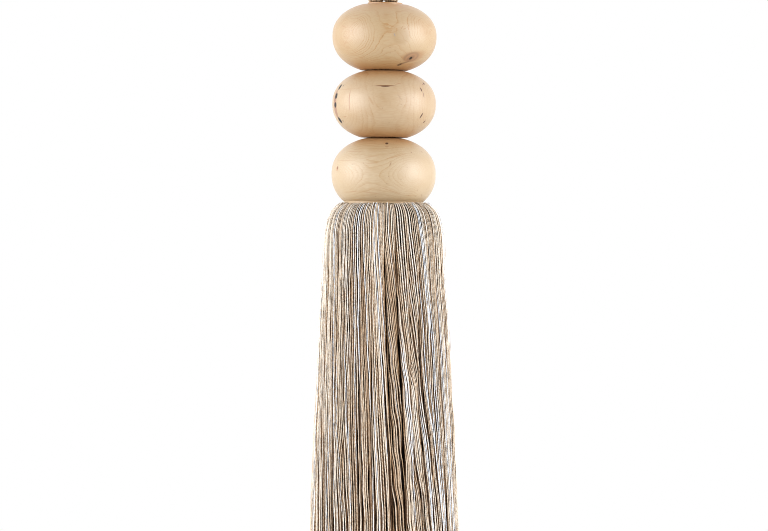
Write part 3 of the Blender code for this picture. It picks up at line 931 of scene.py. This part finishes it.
class TASSEL_OT_skirt(bpy.types.Operator):
    """Hang the skirt's yarns, layer by layer, from under the bottom bead"""

    bl_idname = "tassel.skirt"
    bl_label = "Skirt"

    def execute(self, context):
        settings = context.scene.tassel_yarn
        dice = np.random.default_rng(settings.seed)
        material = yarn_material()
        outline = catmull_rom(SKIRT_OUTLINE, OUTLINE_STEPS)
        steps = np.linalg.norm(np.diff(outline, axis=0), axis=1)
        self.run = np.concatenate([[0.0], np.cumsum(steps)])
        self.drop, self.radius = outline.T
        slope = np.gradient(outline, self.run, axis=0)
        slope /= np.linalg.norm(slope, axis=1, keepdims=True)
        self.inward_drop, self.inward_radius = slope[:, 1], -slope[:, 0]
        self.make_locks(dice)
        for layer in LAYERS:
            mesh = self.layer_mesh(layer, settings, dice)
            finish_piece(layer.piece, mesh, material, "skirt_yarn", "skirt")
        mesh = self.core_mesh(settings, dice)
        finish_piece("skirt_yarn_core", mesh, material, "skirt_yarn", "skirt")
        return {"FINISHED"}

    def make_locks(self, dice):
        """Work out the lines between locks and how each lock hangs, as rows over even levels of drop."""
        self.levels = np.arange(0.0, HEM_DROP + LEVEL_STEP, LEVEL_STEP)
        known = [np.interp(self.levels, PARTING_DROPS, (p.upper, p.middle, p.lower)) for p in PARTINGS]
        known = [np.radians(degrees) for degrees in known]
        known.append(known[0] + math.tau)
        bearings, gaps, sunk = [], [], []
        fading = eased(self.levels / OPENING)
        for index, parting in enumerate(PARTINGS):
            left, right = known[index], known[index + 1]
            opened = eased((self.levels - parting.opens) / OPENING)
            opened *= 1 - eased((self.levels - parting.closes) / CLOSING)
            uneven = 1 + waves(dice, 1, self.levels, PARTING_WAVE)[0]
            bearings.append(left)
            gaps.append(LEAST_GAP + parting.width * opened * uneven)
            locks = max(1, round((right - left).mean() * MEAN_RADIUS / LOCK_WIDTH))
            sunk += [parting.sunk * opened] * locks
            places = (np.arange(1, locks) + dice.uniform(-LOCK_SHIFT, LOCK_SHIFT, locks - 1)) / locks
            for place in places:
                wander = waves(dice, 1, self.levels, LINE_WAVE)[0] * fading
                bearings.append(left + (right - left) * place + wander / MEAN_RADIUS)
                gap = waves(dice, 1, self.levels, GAP_WAVE)[0]
                gaps.append(np.clip(gap, 0.0, None) * fading)
        self.bearings = np.array([*bearings, bearings[0] + math.tau])
        self.gaps = np.array([*gaps, gaps[0]])
        self.sunk = np.array(sunk)
        middle = self.bearings.mean(1)[: len(bearings)]
        # Locks some 20 degrees to the +X side of the front and of the back are twisted twice as much as
        # those at the sides.
        self.lock_lean = LOCK_LEAN * dice.uniform(0.6, 1.4, len(bearings))
        self.lock_lean *= 0.45 + 0.55 * eased(0.5 + 1.7 * np.sin(middle))
        self.lock_lean *= 1 - 0.5 * eased((np.sin(middle) - 0.4) / 0.35)
        self.lock_sway = waves(dice, len(bearings), self.levels, SWAY) * fading

    def at(self, rows, drops):
        """Values of rows at drops: one row, or one for each yarn."""
        place = np.clip(drops / LEVEL_STEP, 0, len(self.levels) - 1.001)
        low = place.astype(int)
        share = place - low
        picked = np.arange(len(rows))[:, None]
        return rows[picked, low] * (1 - share) + rows[picked, low + 1] * share

    def layer_mesh(self, layer, settings, dice):
        """One layer of yarns, from under the bead to the hem."""
        widths = np.diff(self.bearings, axis=0).mean(1)
        counts = np.maximum(2, np.round(layer.yarns * widths / widths.sum())).astype(int)
        lock = np.repeat(np.arange(len(counts)), counts)
        count = len(lock)
        order = np.concatenate([np.arange(n) for n in counts])
        across = (order + 0.5 + dice.uniform(-0.1, 0.1, count)) / counts[lock]
        across = across[:, None]
        ends = self.run[-1] - dice.uniform(0, settings.unevenness / MM, count)
        share = np.linspace(0, 1, layer.rings)
        # Rings are closer over the shoulder.
        share = 0.82 * share + 0.18 * share**2
        along = ends[:, None] * share
        drop = np.interp(along, self.run, self.drop)
        free = eased((drop - HEAD_DROP) / FREE_LENGTH)
        left = self.at(self.bearings[lock], drop)
        right = self.at(self.bearings[lock + 1], drop)
        left_gap = self.at(self.gaps[lock], drop)
        right_gap = self.at(self.gaps[lock + 1], drop)
        radius = np.interp(along, self.run, self.radius)
        left = left + left_gap / (2 * radius)
        right = right - right_gap / (2 * radius)
        length = share * self.run[-1]
        meander = waves(dice, count, length, KINK) + waves(dice, count, length, BEND)
        strays = dice.random(count) < STRAY_SHARE
        far, near = dice.normal(0, STRAY_REACH, count), dice.normal(0, USUAL_REACH, count)
        astray = np.where(strays, far, near)[:, None]
        leaning = astray * eased((drop - STRAY_START) / STRAY_LENGTH)
        sideways = (meander * free + leaning + self.at(self.lock_sway[lock], drop)) / radius
        if layer.face:
            # Position round the lock: 0 to 1 from left to right over its face, and 1 to 2 back behind it.
            start = across if layer.face > 0 else 2 - across
            moved = np.clip(drop - TWIST_START, 0, None) * self.lock_lean[lock][:, None]
            moved /= (right - left) * radius
            angle = math.pi * (start + moved - 0.5)
            across = 0.5 + 0.5 * np.arcsin(0.97 * np.sin(angle)) / math.asin(0.97)
            front = np.cos(angle) / np.sqrt(np.cos(angle) ** 2 + 0.06)
        else:
            front = 0.0
        bearing = left + (right - left) * across + sideways
        # A lock is rounded off towards its edges, the more so beside a wide parting.
        edge = np.abs(2 * across - 1) ** 2.4 * (0.12 + 0.35 * np.where(across < 0.5, left_gap, right_gap))
        lift = layer.spread * dice.uniform(-1, 1, (count, 1)) + waves(dice, count, length, LIFT)
        depth = layer.depth - LOCK_HALF * front + settings.width / MM * 0.5
        depth = depth + (edge + lift) * (0.35 + 0.65 * free)
        # The deeper a yarn lies, the less light reaches it, and least of all at the head.
        cavity = np.clip((depth - DARK_START) / DARK_DEPTH * (1.6 - 0.6 * free), 0, 1)
        sunk = self.at(self.sunk[lock], drop)
        cavity = np.clip(cavity + 0.12 * sunk, 0, 1)
        # Yarns that stray lie over the others, and under the bead all lie closer.
        depth += sunk - 0.4 * (np.abs(astray) > 1.5)
        depth = depth * np.where(drop < 3, 0.8, 1.0)
        out = radius + depth * -np.abs(np.interp(along, self.run, self.inward_radius))
        down = drop + depth * np.abs(np.interp(along, self.run, self.inward_drop))
        # Some yarns rise over the foot of the bead before they fall.
        down -= dice.uniform(*CREST_RISE, (count, 1)) * np.exp(-(((along - CREST) / CREST_LENGTH) ** 2))
        return self.yarn_tubes(layer.piece, out, bearing, down, along, cavity, layer.sides, settings, dice)

    def yarn_tubes(self, name, out, bearing, down, along, cavity, sides, settings, dice, thick=1.0):
        """Yarns as flattish tubes that rock to and fro along their length."""
        count = len(out)
        centers = np.stack([out * np.sin(bearing), -out * np.cos(bearing), SKIRT_TOP - down], axis=2)
        across = np.stack([np.cos(bearing), np.sin(bearing), np.zeros_like(bearing)], axis=2)
        # Yarns are thinner where the head squeezes them, and the hem catches more light.
        squeeze = 0.8 + 0.2 * eased(down / 22)
        half = settings.width / MM / 2 * dice.uniform(0.86, 1.1, (count, 1)) * squeeze * thick
        turn = waves(dice, count, along[0], ROCK) + dice.uniform(-0.3, 0.3, (count, 1))
        # The map's V starts at another length in each yarn, so that no two have the same slubs.
        return tubes(
            name,
            centers * MM,
            across,
            half * MM,
            half * YARN_FLATNESS * MM,
            turn,
            along + dice.uniform(0, 500, (count, 1)),
            cavity * (1 - 0.7 * eased((down - (HEM_DROP - LIT_END)) / LIT_END)),
            picked_tones(dice, count),
            sides,
        )

    def core_mesh(self, settings, dice):
        """The yarns in the heart of the skirt, whose cut ends fill the hem."""
        share = np.sqrt(dice.uniform(0.0, 1.0, (CORE_YARNS, 1)))
        bearing = dice.uniform(0, math.tau, (CORE_YARNS, 1))
        ends = HEM_DROP - dice.uniform(0, settings.unevenness / MM, CORE_YARNS)
        drop = CORE_DROP + (ends[:, None] - CORE_DROP) * np.linspace(0, 1, CORE_RINGS)
        crest = self.drop.argmin()
        radius = np.interp(drop, self.drop[crest:], self.radius[crest:])
        out = share * (radius - CORE_DEPTH)
        bearing = bearing + waves(dice, CORE_YARNS, np.linspace(0, HEM_DROP, CORE_RINGS), CORE_WAVE)
        # Painted shade: the core's yarns are all fully darkened, as they lie deepest in the skirt.
        dark = np.ones_like(drop)
        name = "skirt_yarn_core"
        return self.yarn_tubes(name, out, bearing, drop, drop, dark, 3, settings, dice, CORE_WIDTH)


class TASSEL_PT_pieces(bpy.types.Panel):
    """Lists the tassel's pieces and their settings"""

    bl_idname = "TASSEL_PT_pieces"
    bl_label = "Tassel"
    bl_space_type = "VIEW_3D"
    bl_region_type = "UI"
    bl_category = "Tassel"

    def draw(self, context):
        groups = (
            (context.scene.tassel_stage, ("distance", "light", "surround"), "tassel.stage"),
            (None, (), "tassel.loop"),
            (context.scene.tassel_beads, ("girth", "segments", "gloss"), "tassel.beads"),
            (context.scene.tassel_yarn, ("width", "unevenness", "seed"), "tassel.skirt"),
        )
        for settings, names, operator in groups:
            box = self.layout.box()
            for name in names:
                box.prop(settings, name)
            box.operator(operator)


CLASSES = (
    TasselBeadSettings,
    TasselYarnSettings,
    TasselStageSettings,
    TASSEL_OT_stage,
    TASSEL_OT_loop,
    TASSEL_OT_beads,
    TASSEL_OT_skirt,
    TASSEL_PT_pieces,
)


def register():
    for cls in CLASSES:
        bpy.utils.register_class(cls)
    bpy.types.Scene.tassel_beads = bpy.props.PointerProperty(type=TasselBeadSettings)
    bpy.types.Scene.tassel_yarn = bpy.props.PointerProperty(type=TasselYarnSettings)
    bpy.types.Scene.tassel_stage = bpy.props.PointerProperty(type=TasselStageSettings)


def unregister():
    del bpy.types.Scene.tassel_stage
    del bpy.types.Scene.tassel_yarn
    del bpy.types.Scene.tassel_beads
    for cls in reversed(CLASSES):
        bpy.utils.unregister_class(cls)


def main():
    """Build the whole tassel."""
    register()
    bpy.ops.tassel.stage()
    bpy.ops.tassel.loop()
    bpy.ops.tassel.beads()
    bpy.ops.tassel.skirt()


if __name__ == "__main__":
    main()
